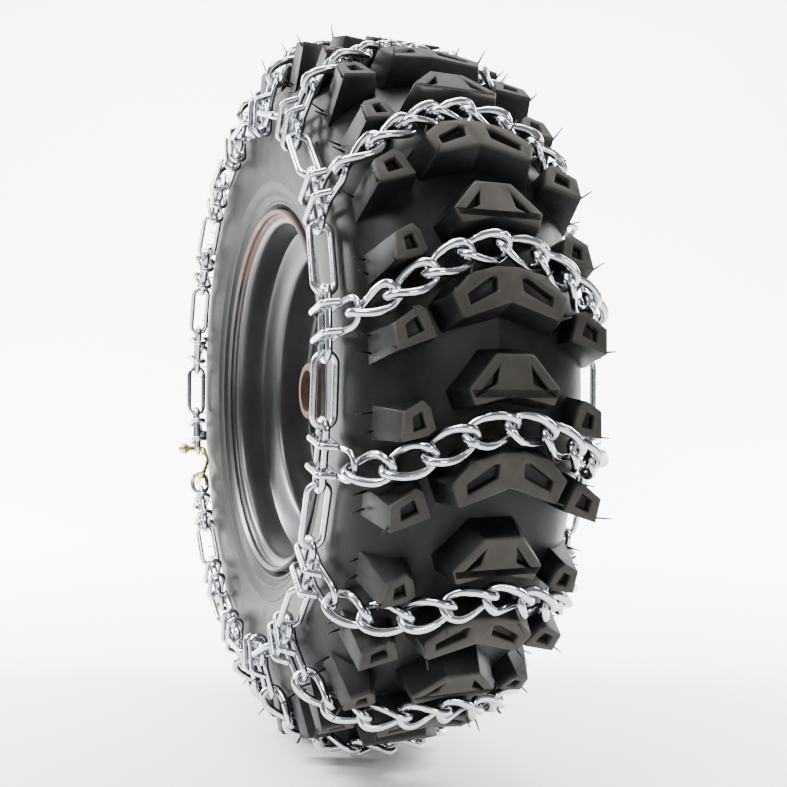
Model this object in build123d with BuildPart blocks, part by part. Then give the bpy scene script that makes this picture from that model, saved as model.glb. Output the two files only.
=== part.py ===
from build123d import *
from math import atan2, cos, degrees, pi, radians, sin, sqrt
import os

# Snow-blower wheel carrying a ladder tyre chain.  The origin is the wheel centre, +Y runs along
# the axle towards the inner side, +Z is up.  Angles turn from +X towards +Z about the axle.

# Driving dimensions, millimetres and degrees
LUG_COUNT = 16
LUG_PITCH = 360 / LUG_COUNT
TREAD_R = 206.5
SHOULDER_R = 199.0
CARCASS_R = 192.5
SECTION_HALF = 60.6
RIM_LIP_R = 106.7
RIM_LIP_Y = 53.6
SHEET = 2.5
HUB_OUTER_R = 17.0
HUB_BORE_R = 12.7
HUB_HALF = 30.0
VALVE_Y = -13.0

SIDE_WIRE = 3.2
SIDE_LINKS = 32
SIDE_WIDTH = 10.2
OUTER_RING_R = 152.0
INNER_RING_R = 154.0
RING_Y = 68.2
FIRST_HOOK = 10.45
FASTENER_PLACE = 17
FASTENER_ROD = 3.8
COUPLING_STEP = 10.55
CROSS_COUNT = 16
CROSS_WIRE = 4.0
CROSS_WIDTH = 12.2
CROSS_TWIST = 28.0
CROSS_LINKS = 8
CROSS_CENTRE_R = 203.0
HOOK_WIRE = 3.1
HOOK_HALF = 6.7
BEND_A = 24.5
BEND_B = -7.6
HOOK_REACH = 1.95
PLAY = 0.25

GROOVE = 17.6
GAP_Y = 42.0
GAP_SHIFT = 5.1

os.makedirs("parts", exist_ok=True)


def radial(angle):
    """Unit vector pointing away from the axle at this angle."""
    return Vector(cos(radians(angle)), 0, sin(radians(angle)))


def around(angle):
    """Unit vector along the tread at this angle."""
    return Vector(-sin(radians(angle)), 0, cos(radians(angle)))


def at(angle, r, y):
    return radial(angle) * r + Vector(0, y, 0)


def turned(angle):
    """The turn about the axle that brings a piece made at angle 0 to this angle."""
    return Location((0, 0, 0), (0, 1, 0), -angle)


def angle_of(point):
    return degrees(atan2(point.Z, point.X))


def save(name, piece):
    piece.label = name
    export_step(piece, f"parts/{name}.step")


# Tyre: a hollow carcass with four kinds of moulded lug
with BuildPart() as carcass:
    with BuildSketch(Plane.XY):
        with BuildLine():
            outside = Spline((108, 50.6), (118, 56.2), (132, 59.2), (152, SECTION_HALF), (165, 58.4),
                             (176, 51.8), (185, 42), (190.5, 25), (CARCASS_R, 0))
            mirror(outside, about=Plane.XZ)
            Polyline((108, 50.6), (107.5, 46.9), (103.4, 46.9), (101.6, 45), (101.6, -45), (103.4, -46.9),
                     (107.5, -46.9), (108, -50.6))
        make_face()
    revolve(axis=Axis.Y)

with BuildPart() as air_space:
    with BuildSketch(Plane.XY):
        with BuildLine():
            inside = Spline((109, 38), (118, 46.5), (132, 52.5), (152, 55), (165, 51), (174, 43.5),
                            (182, 27), (184.5, 0))
            mirror(inside, about=Plane.XZ)
            Polyline((109, 38), (105, 32.5), (101, 32.5), (101, -32.5), (105, -32.5), (109, -38))
        make_face()
    revolve(axis=Axis.Y)

CHEVRON = [(0, -4.6), (23.4, -12.6), (28.0, -2.2), (18.0, 7.6), (5.5, 10.9), (0, 10.9)]
CHEVRON_POCKET = [(5.5, 6.6), (8.6, 6.6), (21.6, -2.4), (20.6, -7.4), (6.0, 0.0)]
PYRAMID = [(0, -6.2), (19.0, -10.6), (21.8, -3.6), (8.8, 11.2), (0, 11.2)]
PYRAMID_POCKET = [(7.4, 6.6), (17.6, -5.6), (8.8, -1.6)]
WIDE_SHOULDER = [(41.0, 9.6), (37.6, 8.0), (33.0, -3.8), (51.0, -10.0), (52.0, 1.6)]
WIDE_POCKET = [(41.4, 5.2), (38.2, -1.4), (46.6, -5.2), (47.6, 1.0)]
NARROW_SHOULDER = [(40.0, 9.0), (36.5, 6.0), (34.2, -1.8), (37.8, -5.0), (48.8, -7.4), (48.0, 4.2)]
NARROW_POCKET = [(40.2, 4.6), (37.6, -2.6), (44.0, -4.4), (44.6, 2.2)]


def flipped(outline):
    return [(-y, s) for y, s in outline]


def both_sides(half):
    """A closed outline from its right half, which starts and ends on the centre line."""
    left = [(-y, s) for y, s in reversed(half) if y > 0]
    return half + left


def widened(outline, grow):
    """The same outline with its walls drafted outwards about its middle."""
    mid_y = sum(y for y, s in outline) / len(outline)
    mid_s = sum(s for y, s in outline) / len(outline)
    return [(mid_y + (y - mid_y) * grow, mid_s + (s - mid_s) * grow) for y, s in outline]


def lug(angle, top_r, foot_r, top, foot, pockets, pocket_depth):
    """One moulded lug: its top outline lofted down to its foot outline, with open pockets."""
    top_plane = Plane(origin=radial(angle) * top_r, x_dir=(0, 1, 0), z_dir=radial(angle))
    foot_plane = Plane(origin=radial(angle) * foot_r, x_dir=(0, 1, 0), z_dir=radial(angle))
    with BuildPart() as block:
        with BuildSketch(foot_plane):
            with BuildLine():
                Polyline(*foot, close=True)
            make_face()
        with BuildSketch(top_plane):
            with BuildLine():
                Polyline(*top, close=True)
            make_face()
        loft()
        with BuildSketch(top_plane):
            for pocket in pockets:
                with BuildLine():
                    Polyline(*pocket, close=True)
                make_face()
        extrude(amount=-pocket_depth, mode=Mode.SUBTRACT)
    return block.part


def shoulder_foot(outline, outer_y):
    """A shoulder lug's foot: its outer edge stands further out, on the sidewall."""
    return [(outer_y if y > 45 else y, s * 1.08) for y, s in outline]


chevron_angle = 11.25
pyramid_angle = 0.45
wide_angle = 6.9
narrow_angle = -4.6
chevron = both_sides(CHEVRON)
pyramid = both_sides(PYRAMID)
lug_set = [
    lug(chevron_angle, TREAD_R, 189, chevron, widened(chevron, 1.07),
        [CHEVRON_POCKET, flipped(CHEVRON_POCKET)], 4),
    lug(pyramid_angle, TREAD_R, 189, pyramid, widened(pyramid, 1.07),
        [PYRAMID_POCKET, flipped(PYRAMID_POCKET)], 4),
    lug(wide_angle, SHOULDER_R, 172, WIDE_SHOULDER, shoulder_foot(WIDE_SHOULDER, 54.5),
        [WIDE_POCKET], 4),
    lug(wide_angle, SHOULDER_R, 172, flipped(WIDE_SHOULDER),
        flipped(shoulder_foot(WIDE_SHOULDER, 54.5)), [flipped(WIDE_POCKET)], 4),
    lug(narrow_angle, SHOULDER_R, 172, NARROW_SHOULDER, shoulder_foot(NARROW_SHOULDER, 53.5),
        [NARROW_POCKET], 4),
    lug(narrow_angle, SHOULDER_R, 172, flipped(NARROW_SHOULDER),
        flipped(shoulder_foot(NARROW_SHOULDER, 53.5)), [flipped(NARROW_POCKET)], 4),
]
with BuildPart() as tyre:
    add(carcass.part)
    for one_lug in lug_set:
        with Locations(*[turned(LUG_PITCH * i) for i in range(LUG_COUNT)]):
            add(one_lug)
    add(air_space.part, mode=Mode.SUBTRACT)
save("tyre", tyre.part)


# Rim: two pressed steel halves welded back to back round the hub tube
def rim_half(side, bore_for_valve):
    with BuildPart() as half:
        with BuildSketch(Plane.XY):
            with BuildLine():
                middle = FilletPolyline(
                    (RIM_LIP_R - 1.4, side * RIM_LIP_Y),
                    (RIM_LIP_R - 1.2, side * 48.4),
                    (99.8, side * 48.4),
                    (99.8, side * 31),
                    (84, side * 24),
                    (84, side * 1.4),
                    (63, side * 1.4),
                    (56, side * 7),
                    (30, side * 7),
                    (HUB_OUTER_R + 6, side * 1.4),
                    (HUB_OUTER_R + SHEET / 2 + 0.1, side * 1.4),
                    radius=[2.6, 3, 3, 4, 3.5, 4, 4, 3, 1.8],
                )
                offset(middle, amount=SHEET / 2, side=Side.BOTH, mode=Mode.REPLACE)
            make_face()
        revolve(axis=Axis.Y)
        if bore_for_valve:
            with BuildSketch(Plane(origin=(70, VALVE_Y, 0), x_dir=(0, 1, 0), z_dir=(1, 0, 0))):
                Circle(5.8)
            extrude(amount=25, mode=Mode.SUBTRACT)
    return half.part


save("rim_outer_half", rim_half(-1, True))
save("rim_inner_half", rim_half(1, False))

# Hub tube: carries the axle
with BuildPart() as hub_tube:
    with BuildSketch(Plane.XZ.offset(-HUB_HALF)):
        Circle(HUB_OUTER_R - 0.05)
        Circle(HUB_BORE_R, mode=Mode.SUBTRACT)
    extrude(amount=2 * HUB_HALF)
    chamfer(hub_tube.edges().filter_by(GeomType.CIRCLE).group_by(SortBy.RADIUS)[-1], length=0.8)
save("hub_tube", hub_tube.part)

# Valve: a rubber snap-in stem through the rim's well, with its plastic cap
with BuildPart() as valve_stem:
    with BuildSketch(Plane.XZ.offset(-VALVE_Y)):
        with BuildLine():
            Polyline((87.6, 0), (87.6, 7.6), (85.6, 7.6), (85.6, 5.7), (82.4, 5.7), (82.2, 6.8),
                     (79, 5.8), (66, 5.0), (66, 3.6), (57, 3.6), (57, 0), close=True)
        make_face()
    revolve(axis=Axis((0, VALVE_Y, 0), (1, 0, 0)))
save("valve_stem", valve_stem.part)

with BuildPart() as valve_cap:
    with BuildSketch(Plane.XZ.offset(-VALVE_Y)):
        with BuildLine():
            Polyline((65.6, 3.72), (65.6, 5.0), (55.5, 4.7), (54.5, 3.9), (54.5, 0), (56.7, 0),
                     (56.7, 3.72), close=True)
        make_face()
    revolve(axis=Axis((0, VALVE_Y, 0), (1, 0, 0)))
save("valve_cap", valve_cap.part)


# Side chains: plain oval links, every second one lying flat on the sidewall
def pulled_up(angle):
    """How far the cross chains draw the outer side chain out of round, 0 to 1."""
    away = min(abs((angle - 48 + 180) % 360 - 180), 60)
    return 0.5 + 0.5 * cos(pi * away / 60)


def ring_point(side, angle):
    if side > 0:
        return at(angle, INNER_RING_R, RING_Y)
    return at(angle, OUTER_RING_R + 11 * pulled_up(angle), -RING_Y + 1.4 * pulled_up(angle))


def oval_link(start, end, flat_normal):
    """A welded oval link whose ends pass round the points start and end."""
    along = (end - start).normalized()
    length = (end - start).length + SIDE_WIRE + PLAY
    square_normal = flat_normal - along * flat_normal.dot(along)
    plane = Plane(origin=(start + end) * 0.5, x_dir=along, z_dir=square_normal)
    straight = (length - SIDE_WIDTH) / 2
    half = SIDE_WIDTH / 2
    with BuildPart() as link:
        with BuildLine(plane) as run:
            Line((-straight, half), (straight, half))
            Line((straight, -half), (-straight, -half))
            CenterArc((straight, 0), half, -90, 180)
            CenterArc((-straight, 0), half, 90, 180)
        with BuildSketch(Plane(origin=plane.from_local_coords((0, half, 0)), z_dir=plane.x_dir)):
            Circle(SIDE_WIRE / 2)
        sweep(path=run.wires()[0])
    return link.part


half_pitch = 180 / SIDE_LINKS
sides = ((-1, "outer"), (1, "inner"))
hook_origins = {-1: [], 1: []}
gap_planes = {}
for side, ring_name in sides:
    hook_links = []
    flat_links = []
    for k in range(SIDE_LINKS):
        middle = FIRST_HOOK + 2 * half_pitch * k
        start = ring_point(side, middle - half_pitch)
        end = ring_point(side, middle + half_pitch)
        if k % 2 == 0:
            hook_links.append(oval_link(start, end, Vector(0, side, 0)))
            hook_origins[side].append((start + end) * 0.5)
        elif k == FASTENER_PLACE:
            along = (end - start).normalized()
            gap_planes[side] = Plane(origin=(start + end) * 0.5, x_dir=along, z_dir=(0, side, 0))
            flat_links.append(oval_link(end - along * COUPLING_STEP, end, radial(middle)))
        else:
            flat_links.append(oval_link(start, end, radial(middle)))
    for kind, links in (("hook", hook_links), ("flat", flat_links)):
        with BuildPart() as link_group:
            add(links)
        save(f"{ring_name}_{kind}_links", link_group.part)


# Fasteners: a headed peg through one side link, an arm along the tyre and a finger that catches
# the short coupling link from the axle side.  Local x runs along the ring, z away from the tyre.
peg_x = -17.0
finger_x = 6.5
for side, ring_name in sides:
    rod_points = [
        (peg_x, 0, 9),
        (peg_x, 0, -4.2),
        (-4, -8.5 * side, -4.2),
        (finger_x, -11 * side, 0),
        (finger_x, 7 * side, 0),
    ]
    with BuildPart() as fastener:
        with BuildLine(gap_planes[side]) as rod_run:
            FilletPolyline(*rod_points, radius=[2.6, 5, 3.2])
        rod_wire = rod_run.wires()[0]
        with BuildSketch(Plane(origin=rod_wire @ 0, z_dir=rod_wire % 0)):
            Circle(FASTENER_ROD / 2)
        sweep(path=rod_wire)
        head_centre = gap_planes[side].from_local_coords((peg_x, 0, 9.6))
        finger_tip = gap_planes[side].from_local_coords((finger_x, 7 * side, 0))
        with Locations(head_centre):
            Sphere(4.1)
        with Locations(finger_tip):
            Sphere(FASTENER_ROD / 2)
    save(f"{ring_name}_fastener_hook", fastener.part)


# Cross-chain hooks: one wire bent to a U, its two legs closed round the side link
def hook_plane(side, m):
    """Local x outwards along the radius, y away from the tyre, at the middle of hook link m."""
    angle = hook_angles[m]
    return Plane(origin=hook_origins[side][m], x_dir=radial(angle), z_dir=around(angle) * side)


LEG = [(12.6, -3.2), (9.6, 3.9), (-9.4, 3.9), (-9.4, -3.9), (8.0, -3.9), (BEND_A, BEND_B)]
LEG_RADII = [2.6, 3.7, 3.7, 6, 6.2]
with BuildPart() as cross_hook:
    with BuildLine() as hook_run:
        there = [(a, b, -HOOK_HALF) for a, b in LEG]
        back = [(a, b, HOOK_HALF) for a, b in reversed(LEG)]
        FilletPolyline(*there, *back, radius=LEG_RADII + LEG_RADII[::-1])
    hook_wire = hook_run.wires()[0]
    with BuildSketch(Plane(origin=hook_wire @ 0, z_dir=hook_wire % 0)):
        Circle(HOOK_WIRE / 2)
    sweep(path=hook_wire)

hook_angles = [FIRST_HOOK + LUG_PITCH * m for m in range(CROSS_COUNT)]
for side, ring_name in sides:
    with BuildPart() as hooks:
        with Locations(*[hook_plane(side, m).location for m in range(CROSS_COUNT)]):
            add(cross_hook.part)
    save(f"{ring_name}_cross_hooks", hooks.part)

# Cross chains: eight twisted links each, hooked to both side chains
bar_y = CROSS_WIDTH / 2 * cos(radians(45))


def lift(angle):
    """The lower chains hang away from the tread."""
    return 5.5 * max(0, -sin(radians(angle))) ** 0.7


def cross_point(m, across):
    """A point on cross chain m; across runs from -1 at the outer hook to 1 at the inner one."""
    side = -1 if across < 0 else 1
    bend = hook_plane(side, m).from_local_coords((BEND_A, BEND_B, 0))
    bend_r = sqrt(bend.X**2 + bend.Z**2)
    y = bend.Y * abs(across)
    centre = GROOVE + LUG_PITCH * m
    swell = (1 - abs(across) ** 2.6) ** 0.8
    r = bend_r + (CROSS_CENTRE_R + lift(centre) - bend_r) * swell
    if abs(y) < GAP_Y:
        drop = GAP_SHIFT * (abs(y) / GAP_Y) ** 1.7
    else:
        rest = (abs(y) - GAP_Y) / (abs(bend.Y) - GAP_Y)
        drop = GAP_SHIFT + (centre - hook_angles[m] - GAP_SHIFT) * rest
    return at(centre - drop, r, y)


def run_of(m, count):
    """The chain's middle line as equal steps between the two hook bends."""
    fine = [cross_point(m, -1 + 2 * i / 400) for i in range(401)]
    fine[0] += (fine[0] - fine[6]).normalized() * HOOK_REACH
    fine[-1] += (fine[-1] - fine[-7]).normalized() * HOOK_REACH
    lengths = [0.0]
    for a, b in zip(fine, fine[1:]):
        lengths.append(lengths[-1] + (b - a).length)
    joints = []
    for j in range(count + 1):
        target = lengths[-1] * j / count
        i = min(range(401), key=lambda n: abs(lengths[n] - target))
        joints.append(fine[i])
    return joints


runs = [run_of(m, CROSS_LINKS) for m in range(CROSS_COUNT)]
longest_pitch = max((b - a).length for run in runs for a, b in zip(run, run[1:]))
link_length = longest_pitch + CROSS_WIRE + PLAY
with BuildPart() as link_end:
    with BuildLine() as end_run:
        FilletPolyline(
            (0, -bar_y, 0),
            (link_length / 2, -bar_y, -bar_y),
            (link_length / 2, bar_y, bar_y),
            (0, bar_y, 0),
            radius=4.8,
        )
    end_wire = end_run.wires()[0]
    with BuildSketch(Plane(origin=end_wire @ 0, z_dir=end_wire % 0)):
        Circle(CROSS_WIRE / 2)
    sweep(path=end_wire)
with BuildPart() as twist_link:
    add(link_end.part)
    add(link_end.part, rotation=(0, 180, 0))

for m, run in enumerate(runs):
    links = []
    for j, (a, b) in enumerate(zip(run, run[1:])):
        along = (b - a).normalized()
        middle = (a + b) * 0.5
        out = radial(angle_of(middle)) + Vector(0, middle.Y / 60, 0)
        place = Plane(origin=middle, x_dir=along, z_dir=out - along * out.dot(along))
        roll = CROSS_TWIST * (2 * j / (CROSS_LINKS - 1) - 1)
        links.append(twist_link.part.moved(place.location * Location((0, 0, 0), (1, 0, 0), roll)))
    save(f"cross_chain_{m + 1:02d}", Compound(children=links))
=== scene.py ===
import bpy
import math
import random
from mathutils import Matrix, Vector


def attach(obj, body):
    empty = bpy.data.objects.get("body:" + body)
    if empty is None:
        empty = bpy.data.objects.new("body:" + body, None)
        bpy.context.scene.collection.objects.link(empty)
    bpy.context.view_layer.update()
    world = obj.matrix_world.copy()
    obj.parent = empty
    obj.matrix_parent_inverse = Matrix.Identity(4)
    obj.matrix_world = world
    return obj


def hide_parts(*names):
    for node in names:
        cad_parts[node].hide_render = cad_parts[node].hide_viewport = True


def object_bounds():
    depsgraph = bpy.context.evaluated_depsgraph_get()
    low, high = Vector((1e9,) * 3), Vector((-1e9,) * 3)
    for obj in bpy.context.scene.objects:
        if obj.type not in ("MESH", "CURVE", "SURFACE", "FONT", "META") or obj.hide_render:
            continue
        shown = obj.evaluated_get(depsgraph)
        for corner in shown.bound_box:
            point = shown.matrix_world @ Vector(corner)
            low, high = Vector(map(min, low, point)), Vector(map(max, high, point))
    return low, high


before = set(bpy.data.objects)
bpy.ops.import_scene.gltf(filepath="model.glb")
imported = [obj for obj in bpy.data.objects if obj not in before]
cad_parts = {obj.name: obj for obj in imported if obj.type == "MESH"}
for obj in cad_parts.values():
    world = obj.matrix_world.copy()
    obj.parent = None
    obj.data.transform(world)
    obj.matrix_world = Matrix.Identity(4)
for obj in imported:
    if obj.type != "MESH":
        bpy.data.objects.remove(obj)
cad_low, cad_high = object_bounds()


# ---- Finishes -------------------------------------------------------------------------------
# One small class lets shader sockets take part in Python arithmetic, and one function adds every
# node.  Each finish below is built with them where it is first used.
def add_node(tree, kind, out, inputs, **settings):
    """A node with its settings set first, then its sockets linked or given values."""
    node = tree.nodes.new(kind)
    for key, value in settings.items():
        setattr(node, key, value)
    for key, value in inputs.items():
        if isinstance(value, Wire):
            tree.links.new(value.socket, node.inputs[key])
        else:
            node.inputs[key].default_value = value
    return Wire(tree, node.outputs[out])


class Wire:
    def __init__(self, tree, socket):
        self.tree = tree
        self.socket = socket

    def math(self, operation, other=0.0):
        return add_node(self.tree, "ShaderNodeMath", 0, {0: self, 1: other}, operation=operation)

    def __add__(self, other):
        return self.math("ADD", other)

    def __sub__(self, other):
        return self.math("SUBTRACT", other)

    def __rsub__(self, other):
        return add_node(self.tree, "ShaderNodeMath", 0, {0: other, 1: self}, operation="SUBTRACT")

    def __mul__(self, other):
        return self.math("MULTIPLY", other)

    __radd__ = __add__
    __rmul__ = __mul__

    def step(self, low, high):
        """0 below low, 1 above high, smooth between them."""
        return add_node(self.tree, "ShaderNodeMapRange", "Result",
                        {"From Min": low, "From Max": high, "Value": self},
                        interpolation_type="SMOOTHSTEP")


class Finish:
    def __init__(self, name):
        self.material = bpy.data.materials.new(name)
        self.material.use_nodes = True
        self.tree = self.material.node_tree
        self.shader = self.tree.nodes["Principled BSDF"]

    def node(self, kind, out, inputs, **settings):
        return add_node(self.tree, kind, out, inputs, **settings)

    def place(self):
        return self.node("ShaderNodeTexCoord", "Object", {})

    def parts_of(self, place):
        return [self.node("ShaderNodeSeparateXYZ", axis, {"Vector": place}) for axis in "XYZ"]

    def noise(self, place, scale, detail=3.0, rough=0.5):
        return self.node("ShaderNodeTexNoise", "Fac",
                         {"Vector": place, "Scale": scale, "Detail": detail, "Roughness": rough})

    def mix(self, factor, a, b):
        """Colour a where the factor is 0 and b where it is 1."""
        colours = [value if isinstance(value, Wire) else (*value, 1.0) for value in (a, b)]
        return self.node("ShaderNodeMix", 2, {0: factor, 6: colours[0], 7: colours[1]}, data_type="RGBA")

    def bump(self, height, distance, strength=1.0):
        return self.node("ShaderNodeBump", "Normal",
                         {"Height": height, "Distance": distance, "Strength": strength})

    def set(self, **values):
        for key, value in values.items():
            socket = self.shader.inputs[key.replace("_", " ")]
            if isinstance(value, Wire):
                self.tree.links.new(value.socket, socket)
            else:
                socket.default_value = value


# ---- Tyre rubber ----------------------------------------------------------------------------
# Moulded black rubber: lug tops carry a dusty grey-brown film, the grooves keep a darker sheen.
rubber = Finish("tyre_rubber")
at = rubber.place()
x, y, z = rubber.parts_of(at)
radius = (x * x + z * z).math("SQRT")
across = y.math("ABSOLUTE")
film = rubber.noise(at, 95.0, 5.0, 0.65)
patches = rubber.noise(at, 22.0, 3.0)
on_shoulder = across.step(0.0290, 0.0310)
crown_top = radius.step(0.2050, 0.2064) * (1 - on_shoulder)
shoulder_top = radius.step(0.1962, 0.1990) * on_shoulder
top = (crown_top + shoulder_top).math("MINIMUM", 1.0)
dust = top * (film * 0.5 + patches * 0.9 - 0.15).math("MAXIMUM", 0.0)
grime = (film - 0.45).math("MAXIMUM", 0.0) * 0.25
black = (0.0028, 0.0029, 0.0032)
dusty_brown = (0.052, 0.047, 0.039)
base = rubber.mix((dust * 0.95 + grime).math("MINIMUM", 1.0), black, dusty_brown)
rubber.set(Base_Color=base, Roughness=top * 0.2 + film * 0.25 + 0.34, Specular_IOR_Level=0.17,
           Normal=rubber.bump(rubber.noise(at, 900.0, 2.0), 0.00012, 0.5))


# ---- Tyre carcass ---------------------------------------------------------------------------
# The hollow rubber body: a closed section spun about the axle, with fine moulded rings low on
# the sidewall.
def select_only(thing):
    bpy.ops.object.select_all(action="DESELECT")
    thing.select_set(True)
    bpy.context.view_layer.objects.active = thing


def rounded(points, passes=2):
    """A smooth run through the same shape, by cutting every corner."""
    for _ in range(passes):
        cut = [points[0]]
        for a, b in zip(points, points[1:]):
            cut.append((a[0] * 0.75 + b[0] * 0.25, a[1] * 0.75 + b[1] * 0.25))
            cut.append((a[0] * 0.25 + b[0] * 0.75, a[1] * 0.25 + b[1] * 0.75))
        points = cut + [points[-1]]
    return points


def spun(name, section, steps):
    """A ring whose closed section, in mm as radius and y, is spun about the axle."""
    bpy.ops.mesh.primitive_circle_add(vertices=len(section), fill_type="NOTHING")
    ring = bpy.context.object
    ring.name = name
    for vertex, (r, along) in zip(ring.data.vertices, section):
        vertex.co = (r / 1000, along / 1000, 0)
    select_only(ring)
    bpy.ops.object.mode_set(mode="EDIT")
    bpy.ops.mesh.select_all(action="SELECT")
    bpy.ops.mesh.spin(steps=steps, angle=2 * math.pi, center=(0, 0, 0), axis=(0, 1, 0),
                      use_auto_merge=True)
    bpy.ops.mesh.select_all(action="SELECT")
    bpy.ops.mesh.remove_doubles(threshold=0.00001)
    bpy.ops.mesh.normals_make_consistent(inside=False)
    bpy.ops.object.mode_set(mode="OBJECT")
    bpy.ops.object.shade_smooth_by_angle(angle=math.radians(35))
    return ring


outer_half = [(107.5, 46.9), (107.8, 50.2), (109.4, 51.4), (110.2, 52.7), (111.6, 53.2), (112.2, 52.8),
              (114.6, 54.6), (115.2, 55.4), (116.4, 55.7), (117.0, 55.4), (121.5, 57.0), (122.1, 57.6),
              (123.2, 57.8), (123.8, 57.5), (132, 59.2), (144, 60.4), (156, 60.4), (166, 57.9),
              (176, 51.8), (185, 42), (189.6, 30), (191.6, 16), (192.5, 0)]
inner_half = [(184.5, 0), (182, 27), (174, 43.5), (165, 51), (152, 55), (132, 52.5), (118, 46.5),
              (109, 38), (105, 32.8), (101.6, 33.2), (101.6, 45), (103.4, 46.9)]
smooth_outer = outer_half[:13] + rounded(outer_half[13:], 2)
smooth_inner = rounded(inner_half[:8], 1) + inner_half[8:]
section = (smooth_outer[:-1] + [(r, -along) for r, along in reversed(smooth_outer)]
           + [(r, -along) for r, along in reversed(smooth_inner)] + smooth_inner[1:])
carcass = spun("tyre_carcass", section, 224)
carcass.data.materials.append(rubber.material)


# ---- Tyre lugs ------------------------------------------------------------------------------
# Four kinds of moulded lug, each cut with pockets and softened edges, sixteen times round the
# tread.  The two shoulder kinds are also mirrored to the other side.
lug_count = 16
lug_pitch = 360 / lug_count


def stamped(pattern, matrix):
    """A copy of the pattern, with its own mesh, moved by the matrix."""
    copy = pattern.copy()
    copy.data = pattern.data.copy()
    bpy.context.collection.objects.link(copy)
    copy.data.transform(matrix)
    return copy


def joined(pieces, name):
    bpy.ops.object.select_all(action="DESELECT")
    for piece in pieces:
        piece.select_set(True)
    bpy.context.view_layer.objects.active = pieces[0]
    bpy.ops.object.join()
    pieces[0].name = name
    return pieces[0]


def prism(name, radius_top, top, radius_foot, foot):
    """A block from its top outline down to its foot outline; outlines are (y, along tread)."""
    bpy.ops.mesh.primitive_circle_add(vertices=len(top), fill_type="NGON")
    block = bpy.context.object
    block.name = name
    for vertex, (along, turn) in zip(block.data.vertices, top):
        vertex.co = (radius_top / 1000, along / 1000, turn / 1000)
    select_only(block)
    bpy.ops.object.mode_set(mode="EDIT")
    bpy.ops.mesh.select_all(action="SELECT")
    bpy.ops.mesh.extrude_region_move(
        TRANSFORM_OT_translate={"value": ((radius_foot - radius_top) / 1000, 0, 0)})
    bpy.ops.object.mode_set(mode="OBJECT")
    lower = [v for v in block.data.vertices if v.select]
    for vertex in lower:
        here = (vertex.co.y * 1000, vertex.co.z * 1000)
        corner = min(range(len(top)), key=lambda i: math.dist(here, top[i]))
        vertex.co.y = foot[corner][0] / 1000
        vertex.co.z = foot[corner][1] / 1000
    bpy.ops.object.mode_set(mode="EDIT")
    bpy.ops.mesh.select_all(action="SELECT")
    bpy.ops.mesh.normals_make_consistent(inside=False)
    bpy.ops.object.mode_set(mode="OBJECT")
    return block


def flipped(outline):
    return [(-along, turn) for along, turn in outline]


def both_sides(half):
    return half + [(-along, turn) for along, turn in reversed(half) if along > 0]


def grown(outline, factor, skirt=0.0):
    """The outline scaled about its middle, then pushed out by a skirt of so many mm."""
    mid = [sum(p[i] for p in outline) / len(outline) for i in (0, 1)]
    bigger = []
    for p in outline:
        away = math.dist(p, mid)
        scale = factor + skirt / max(away, 1)
        bigger.append((mid[0] + (p[0] - mid[0]) * scale, mid[1] + (p[1] - mid[1]) * scale))
    return bigger


def sunk(outline, edge):
    """A shoulder lug's foot outline, whose outer edge stands on the sidewall at y = edge."""
    return [(edge if along > 45 else along - 5.0, turn * 1.22) for along, turn in outline]


chevron = both_sides([(0, -4.6), (23.4, -12.6), (28.0, -2.2), (18.0, 7.6), (5.5, 10.9), (0, 10.9)])
pyramid = both_sides([(0, -6.2), (19.0, -10.6), (21.8, -3.6), (8.8, 11.2), (0, 11.2)])
wide = [(41.0, 9.6), (37.6, 8.0), (33.0, -3.8), (51.0, -10.0), (52.0, 1.6)]
narrow = [(40.0, 9.0), (36.5, 6.0), (33.6, -3.0), (37.2, -6.0), (48.8, -8.4), (48.0, 4.2)]
chevron_cut = [(5.5, 6.6), (8.6, 6.6), (21.6, -2.4), (20.6, -7.4), (6.0, 0.0)]
pyramid_cut = [(7.4, 6.6), (17.6, -5.6), (8.8, -1.6)]
wide_cut = [(41.4, 5.2), (38.2, -1.4), (46.6, -5.2), (47.6, 1.0)]
narrow_cut = [(40.2, 4.6), (37.6, -2.6), (44.0, -4.4), (44.6, 2.2)]
tread_r, crown_foot_r = 206.5, 189
shoulder_r, shoulder_foot_r = 199.0, 172
chevron_angle, pyramid_angle, wide_angle, narrow_angle = 11.25, 0.45, 6.9, -4.6
wide_foot = sunk(wide, 54.5)
narrow_foot = sunk(narrow, 53.5)
kinds = [
    (chevron_angle, tread_r, crown_foot_r, chevron, grown(chevron, 1.04, 3.4),
     [chevron_cut, flipped(chevron_cut)]),
    (pyramid_angle, tread_r, crown_foot_r, pyramid, grown(pyramid, 1.04, 3.4),
     [pyramid_cut, flipped(pyramid_cut)]),
    (wide_angle, shoulder_r, shoulder_foot_r, wide, wide_foot, [wide_cut]),
    (wide_angle, shoulder_r, shoulder_foot_r, flipped(wide), flipped(wide_foot), [flipped(wide_cut)]),
    (narrow_angle, shoulder_r, shoulder_foot_r, narrow, narrow_foot, [narrow_cut]),
    (narrow_angle, shoulder_r, shoulder_foot_r, flipped(narrow), flipped(narrow_foot),
     [flipped(narrow_cut)]),
]
pocket_depth = 4
lugs = []
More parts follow.
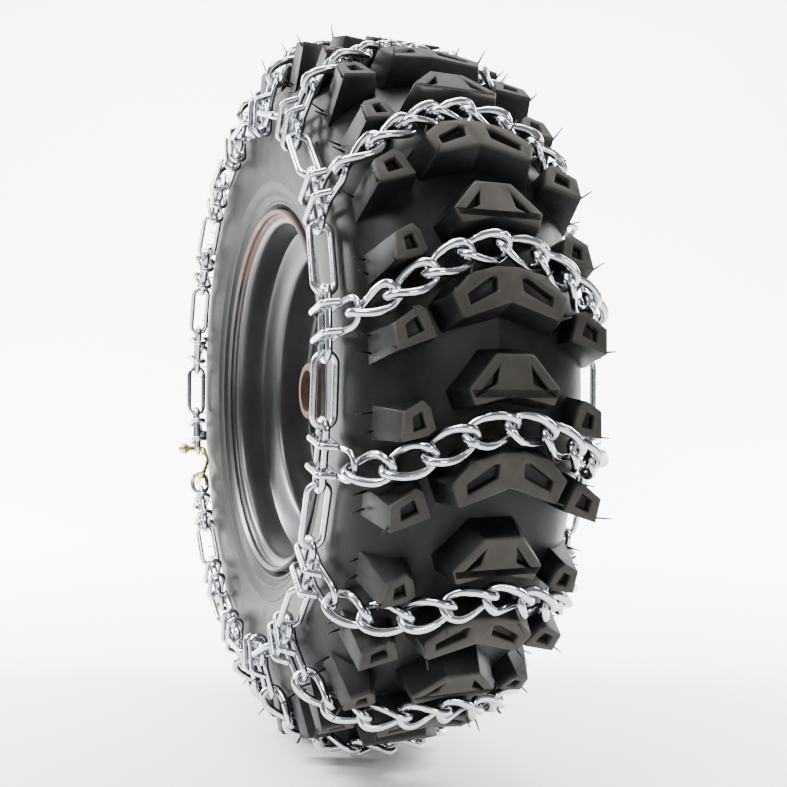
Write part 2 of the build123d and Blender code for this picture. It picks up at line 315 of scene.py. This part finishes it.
for angle, top_r, foot_r, top_line, foot_line, cuts in kinds:
    lug = prism("lug", top_r, top_line, foot_r, foot_line)
    for cut in cuts:
        knife = prism("pocket", top_r + 1, cut, top_r - pocket_depth, grown(cut, 0.84))
        select_only(lug)
        carve = lug.modifiers.new("carve", "BOOLEAN")
        carve.operation = "DIFFERENCE"
        carve.object = knife
        bpy.ops.object.modifier_apply(modifier=carve.name)
        bpy.data.objects.remove(knife)
    soften = lug.modifiers.new("soften", "BEVEL")
    soften.width = 0.0007
    soften.segments = 2
    soften.limit_method = "ANGLE"
    soften.angle_limit = math.radians(25)
    select_only(lug)
    bpy.ops.object.modifier_apply(modifier=soften.name)
    bpy.ops.object.shade_smooth_by_angle(angle=math.radians(40))
    for i in range(lug_count):
        lugs.append(stamped(lug, Matrix.Rotation(-math.radians(angle + lug_pitch * i), 4, "Y")))
    bpy.data.objects.remove(lug)
tread = joined(lugs, "tyre_lugs")
tread.data.materials.clear()
tread.data.materials.append(rubber.material)
for piece in (carcass, tread):
    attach(piece, "wheel")
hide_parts("tyre")
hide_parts("tyre")


# ---- Vent whiskers --------------------------------------------------------------------------
# Thin rubber spews left by the mould's air vents, standing on lug corners and on the shoulders.
spews = random.Random(7)
whisker_spots = []


def lean_out(r):
    """How far a whisker leans away from the tyre's middle: most where it stands on the sidewall."""
    return 2.4 if r < 190 else 0.6


for i in range(lug_count):
    pitch = lug_pitch * i
    for side in (-1, 1):
        for along, turn, r in ((27.4, -2.2, 206), (23.0, -12.0, 206), (18.2, 6.8, 206)):
            if spews.random() < 0.7:
                whisker_spots.append((pitch + chevron_angle, r, side * along, turn, 0.25 * side,
                                      spews.uniform(5, 8.5)))
        for along, turn, r in ((51.0, -8.6, 197), (40.8, 8.6, 197.5), (54.4, 0.4, 176), (54.6, -7.6, 177)):
            if spews.random() < 0.85:
                whisker_spots.append((pitch + wide_angle, r, side * along, turn, lean_out(r) * side,
                                      spews.uniform(5.5, 9.5)))
        for along, turn, r in ((48.4, -7.8, 197), (53.6, 2.0, 176), (53.8, -6.0, 178)):
            if spews.random() < 0.85:
                whisker_spots.append((pitch + narrow_angle, r, side * along, turn, lean_out(r) * side,
                                      spews.uniform(5.5, 9.5)))
bpy.ops.mesh.primitive_cone_add(vertices=5, radius1=0.00060, radius2=0.00034, depth=1.0,
                                location=(0, 0, 0))
pattern = bpy.context.object
select_only(pattern)
bpy.ops.object.mode_set(mode="EDIT")
bpy.ops.mesh.select_all(action="SELECT")
bpy.ops.transform.translate(value=(0, 0, 0.5))
bpy.ops.object.mode_set(mode="OBJECT")
bpy.ops.object.shade_smooth()
hairs = []
for angle, r, along, turn, lean, length in whisker_spots:
    turned = math.radians(angle) + turn / r
    up = Vector((math.cos(turned), 0, math.sin(turned)))
    way = (up + Vector((spews.uniform(-0.35, 0.35), lean, spews.uniform(-0.35, 0.35)))).normalized()
    foot = up * (r - 1) / 1000 + Vector((0, along / 1000, 0))
    stretch = Matrix.Diagonal((1, 1, length / 1000, 1))
    aim = way.to_track_quat("Z", "Y").to_matrix().to_4x4()
    hairs.append(stamped(pattern, Matrix.Translation(foot) @ aim @ stretch))
bpy.data.objects.remove(pattern)
whiskers = joined(hairs, "vent_whiskers")
whiskers.data.materials.append(rubber.material)
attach(whiskers, "wheel")


# ---- Rim ------------------------------------------------------------------------------------
# Two pressed steel halves, back to back, with a rolled lip, a deep well and stepped rings in
# the disc.  Satin dark grey coating; brown rust creeps out of the centre.
steel = Finish("rim_steel")
at = steel.place()
x, y, z = steel.parts_of(at)
radius = (x * x + z * z).math("SQRT")
blotch = steel.noise(at, 40.0, 5.0, 0.6)
fine = steel.noise(at, 260.0, 3.0)
bead = radius.step(0.0995, 0.1035) * z.step(0.04, 0.1) * (blotch - 0.38).step(0.0, 0.2) * 0.7
centre_rust = (0.030 - radius + (blotch - 0.5) * 0.02).step(0.0, 0.006)
rust = (centre_rust + bead).math("MINIMUM", 1.0)
coat = steel.mix(blotch, (0.050, 0.051, 0.054), (0.085, 0.087, 0.09))
steel.set(Base_Color=steel.mix(rust, coat, (0.13, 0.055, 0.025)), Metallic=0.8 - rust * 0.75,
          Roughness=fine * 0.12 + rust * 0.4 + 0.26,
          Normal=steel.bump(fine, 0.0001, 0.25))
rim_run = [(105.3, 53.9), (106.2, 52.9), (105.6, 48.9), (101.2, 48.3), (99.8, 46.5), (99.8, 33),
           (98.6, 30.4), (85.6, 25), (84, 23.4), (84, 4.4), (81.2, 1.4), (74, 1.4), (72.6, 2.2),
           (71.6, 2.2), (70.2, 1.4), (63.4, 1.4), (56.6, 6.6), (54, 7.0), (46, 7.0), (44.8, 6.2),
           (43.6, 6.2), (42.4, 7.0), (31, 7.0), (28.6, 5.8), (23.6, 1.8), (18.4, 1.4)]
rim_line = rounded(rim_run, 2)
half_sheet = 1.22
faces = ([], [])
for i, (r, along) in enumerate(rim_line):
    before = rim_line[max(i - 1, 0)]
    after = rim_line[min(i + 1, len(rim_line) - 1)]
    step = math.dist(before, after)
    normal = (-(after[1] - before[1]) / step, (after[0] - before[0]) / step)
    faces[0].append((r + normal[0] * half_sheet, along + normal[1] * half_sheet))
    faces[1].append((r - normal[0] * half_sheet, along - normal[1] * half_sheet))
rim_section = faces[0] + faces[1][::-1]
for side, name in ((-1, "rim_outer_half"), (1, "rim_inner_half")):
    half = spun("looks_" + name, [(r, along * side) for r, along in rim_section], 160)
    half.data.materials.append(steel.material)
    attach(half, "wheel")
    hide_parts(name)


# ---- Chain ----------------------------------------------------------------------------------
# Bright zinc-plated links and hooks, streaky where the plating pooled; the fasteners are
# yellow passivated.
zinc = Finish("chain_zinc")
at = zinc.place()
streak = zinc.noise(at, 180.0, 4.0, 0.6)
cloud = zinc.noise(at, 45.0, 2.0)
zinc.set(Base_Color=zinc.mix(cloud, (0.42, 0.44, 0.47), (0.66, 0.68, 0.71)), Metallic=1.0,
         Roughness=streak * 0.16 + 0.08, Normal=zinc.bump(streak, 0.0003, 0.4))
gold = Finish("fastener_zinc")
at = gold.place()
tint = gold.noise(at, 150.0, 3.0)
gold.set(Base_Color=gold.mix(tint, (0.55, 0.36, 0.12), (0.86, 0.74, 0.42)), Metallic=1.0,
         Roughness=tint * 0.2 + 0.18, Normal=gold.bump(tint, 0.0002, 0.3))
rusty = Finish("hub_steel")
at = rusty.place()
scale = rusty.noise(at, 120.0, 5.0, 0.7)
rusty.set(Base_Color=rusty.mix(scale, (0.035, 0.018, 0.012), (0.12, 0.06, 0.035)), Metallic=0.4,
          Roughness=scale * 0.3 + 0.5, Normal=rusty.bump(scale, 0.0004, 0.5))
plain = Finish("valve_rubber")
plain.set(Base_Color=(0.02, 0.02, 0.02, 1), Roughness=0.6)
finishes = {"chain": zinc, "hooks": zinc, "links": zinc, "fastener": gold, "hub": rusty, "valve": plain}
for name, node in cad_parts.items():
    for word, finish in finishes.items():
        if word in name:
            for place in node.material_slots:
                place.material = finish.material
            break


# ---- Cross chains ---------------------------------------------------------------------------
# Eight twisted links each, bent from round zinc-plated wire and butt welded.  One link is
# modelled, then copied along every chain between its two hooks.
hook_first = 10.45
groove = 17.6
side_pitch = 11.25
gap_y, gap_shift = 42, 5.1
chain_links = 8
steps = 400


def pulled(angle):
    """How far the outer side chain is drawn out of round at this angle, 0 to 1."""
    away = min(abs((angle - 48 + 180) % 360 - 180), 60)
    return 0.5 + 0.5 * math.cos(math.pi * away / 60)


def side_point(side, angle):
    r = 154.0 if side > 0 else 152.0 + 11 * pulled(angle)
    along = 68.2 if side > 0 else -68.2 + 1.4 * pulled(angle)
    return Vector((r * math.cos(math.radians(angle)), along, r * math.sin(math.radians(angle))))


def hook_bend(side, angle):
    middle = (side_point(side, angle - side_pitch / 2) + side_point(side, angle + side_pitch / 2)) / 2
    away = Vector((math.cos(math.radians(angle)), 0, math.sin(math.radians(angle))))
    return middle + away * 24.5 + Vector((0, -7.6 * side, 0))


def chain_point(m, across):
    """A point in mm on chain m, whose across runs from -1 at the outer hook to 1 at the inner."""
    hook = hook_first + lug_pitch * m
    centre = groove + lug_pitch * m
    bend = hook_bend(-1 if across < 0 else 1, hook)
    bend_r = math.hypot(bend.x, bend.z)
    along = bend.y * abs(across)
    sag = 5.5 * max(0, -math.sin(math.radians(centre))) ** 0.7
    r = bend_r + (203.0 + sag - bend_r) * (1 - abs(across) ** 2.6) ** 0.8
    if abs(along) < gap_y:
        drop = gap_shift * (abs(along) / gap_y) ** 1.7
    else:
        drop = gap_shift + (centre - hook - gap_shift) * (abs(along) - gap_y) / (abs(bend.y) - gap_y)
    turn = math.radians(centre - drop)
    return Vector((r * math.cos(turn), along, r * math.sin(turn)))


def joints_of(m):
    """Where the links of chain m meet, in equal steps along its path."""
    fine = [chain_point(m, -1 + 2 * i / steps) for i in range(steps + 1)]
    hook_reach = 1.8
    fine[0] = fine[0] + (fine[0] - fine[6]).normalized() * hook_reach
    fine[-1] = fine[-1] + (fine[-1] - fine[-7]).normalized() * hook_reach
    run = [0.0]
    for a, b in zip(fine, fine[1:]):
        run.append(run[-1] + (b - a).length)
    meets = []
    for j in range(chain_links + 1):
        target = run[-1] * j / chain_links
        meets.append(fine[min(range(steps + 1), key=lambda n: abs(run[n] - target))])
    return meets


runs = [joints_of(m) for m in range(lug_count)]
longest = max((b - a).length for run in runs for a, b in zip(run, run[1:])) + 4.1
bpy.ops.mesh.primitive_torus_add(major_radius=1.0, minor_radius=0.00213, major_segments=36,
                                 minor_segments=10)
link = bpy.context.object
link.name = "twisted_link"
half_long = longest / 2000
half_wide = 0.0062


def oval(turn):
    """A point on the link's middle line, a rounded oblong."""
    c, n = math.cos(turn), math.sin(turn)
    reach = (abs(c) ** 2.5 + abs(n) ** 2.5) ** (-1 / 2.5)
    return half_long * c * reach, half_wide * n * reach


for vertex in link.data.vertices:
    turn = math.atan2(vertex.co.y, vertex.co.x)
    out = math.hypot(vertex.co.x, vertex.co.y) - 1.0
    px, py = oval(turn)
    next_x, next_y = oval(turn + 0.002)
    tangent = Vector((next_x - px, next_y - py, 0)).normalized()
    weld = 1.0 + 0.13 * math.exp(-((turn - math.pi / 2) / 0.12) ** 2)
    wx = px + tangent.y * out * weld
    wy = py - tangent.x * out * weld
    wz = vertex.co.z * weld
    twist = math.radians(46) * max(-1.0, min(1.0, wx / half_long * 1.15))
    vertex.co = (wx, wy * math.cos(twist) - wz * math.sin(twist), wy * math.sin(twist) + wz * math.cos(twist))
select_only(link)
bpy.ops.object.shade_smooth()
for m, run in enumerate(runs):
    made = []
    for j, (a, b) in enumerate(zip(run, run[1:])):
        along = (b - a).normalized()
        middle = (a + b) / 2
        out = Vector((middle.x, 0, middle.z)).normalized() + Vector((0, middle.y / 60, 0))
        up = (out - along * out.dot(along)).normalized()
        aim = Matrix((along, up.cross(along), up)).transposed().to_4x4()
        roll = Matrix.Rotation(math.radians(28 * (2 * j / (chain_links - 1) - 1)), 4, "X")
        made.append(stamped(link, Matrix.Translation(middle / 1000) @ aim @ roll))
    node = f"cross_chain_{m + 1:02d}"
    chain = joined(made, "looks_" + node)
    chain.data.materials.append(zinc.material)
    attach(chain, node)
    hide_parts(node)
bpy.data.objects.remove(link)


# ---- Floor and backdrop ---------------------------------------------------------------------
# A pale sweep: level floor that curves up behind the wheel.
bpy.ops.mesh.primitive_plane_add(size=1)
sweep = bpy.context.object
sweep.name = "pale_sweep"
heading = math.radians(67.974)
ahead = Vector((-math.sin(heading), math.cos(heading), 0))
beside = Vector((math.cos(heading), math.sin(heading), 0))
corners = [(-4, -3), (4, -3), (-4, 2.6), (4, 2.6)]
for vertex, (u, v) in zip(sweep.data.vertices, corners):
    vertex.co = beside * u + ahead * v + Vector((0, 0, cad_low.z))
select_only(sweep)
bpy.ops.object.mode_set(mode="EDIT")
bpy.ops.mesh.select_mode(type="EDGE")
bpy.ops.mesh.select_all(action="DESELECT")
bpy.ops.object.mode_set(mode="OBJECT")
for edge in sweep.data.edges:
    ends = [sweep.data.vertices[i].co for i in edge.vertices]
    edge.select = all(end.dot(ahead) > 2 for end in ends)
bpy.ops.object.mode_set(mode="EDIT")
bpy.ops.mesh.extrude_region_move(TRANSFORM_OT_translate={"value": (0, 0, 4)})
bpy.ops.object.mode_set(mode="OBJECT")
curve = sweep.modifiers.new("curve", "BEVEL")
curve.width = 1.4
curve.segments = 24
curve.limit_method = "ANGLE"
bpy.ops.object.modifier_apply(modifier=curve.name)
bpy.ops.object.shade_smooth()
paper = Finish("paper")
paper.set(Base_Color=(0.9, 0.9, 0.9, 1), Roughness=0.9, Specular_IOR_Level=0.2)
sweep.data.materials.append(paper.material)


# ---- Light and camera -----------------------------------------------------------------------
# Dim soft room, softboxes on the wheel, and two wide lamps behind it that wash the backdrop
# white.
world = bpy.data.worlds.new("soft_room")
bpy.context.scene.world = world
world.use_nodes = True
world.node_tree.nodes["Background"].inputs[0].default_value = (0.95, 0.97, 1, 1)
world.node_tree.nodes["Background"].inputs[1].default_value = 0.32
backdrop = ahead * 2.4
lamps = (("key", Vector((0.8, -1.3, 1.5)), Vector((0, 0, 0)), 0.8, 42),
         ("strip", Vector((1.5, 0.2, 0.5)), Vector((0, 0, 0)), 0.35, 9),
         ("top", Vector((-0.1, 0.0, 1.7)), Vector((0, 0, 0)), 1.1, 60),
         ("wash_left", beside * -1.3 + ahead * 0.5 + Vector((0, 0, 0.9)), backdrop - beside * 0.5, 1.0, 300),
         ("wash_right", beside * 1.3 + ahead * 0.5 + Vector((0, 0, 0.9)), backdrop + beside * 0.5, 1.0, 260))
for name, place, target, size, power in lamps:
    bpy.ops.object.light_add(type="AREA", location=place)
    lamp = bpy.context.object
    lamp.name = name
    lamp.data.size = size
    lamp.data.energy = power
    lamp.rotation_mode = "QUATERNION"
    lamp.rotation_quaternion = (target - place).to_track_quat("-Z", "Y")

rise = math.radians(0.747)
forward = ahead * math.cos(rise) + Vector((0, 0, math.sin(rise)))
upward = beside.cross(forward)
bpy.ops.object.camera_add(location=(0.5767, -0.2063, -0.0094))
camera = bpy.context.object
camera.rotation_mode = "QUATERNION"
camera.rotation_quaternion = Matrix((beside, upward, -forward)).transposed().to_quaternion()
camera.data.sensor_width = 36
camera.data.lens = 45.21
camera.data.clip_start = 0.01
camera.data.dof.use_dof = False
bpy.context.scene.camera = camera
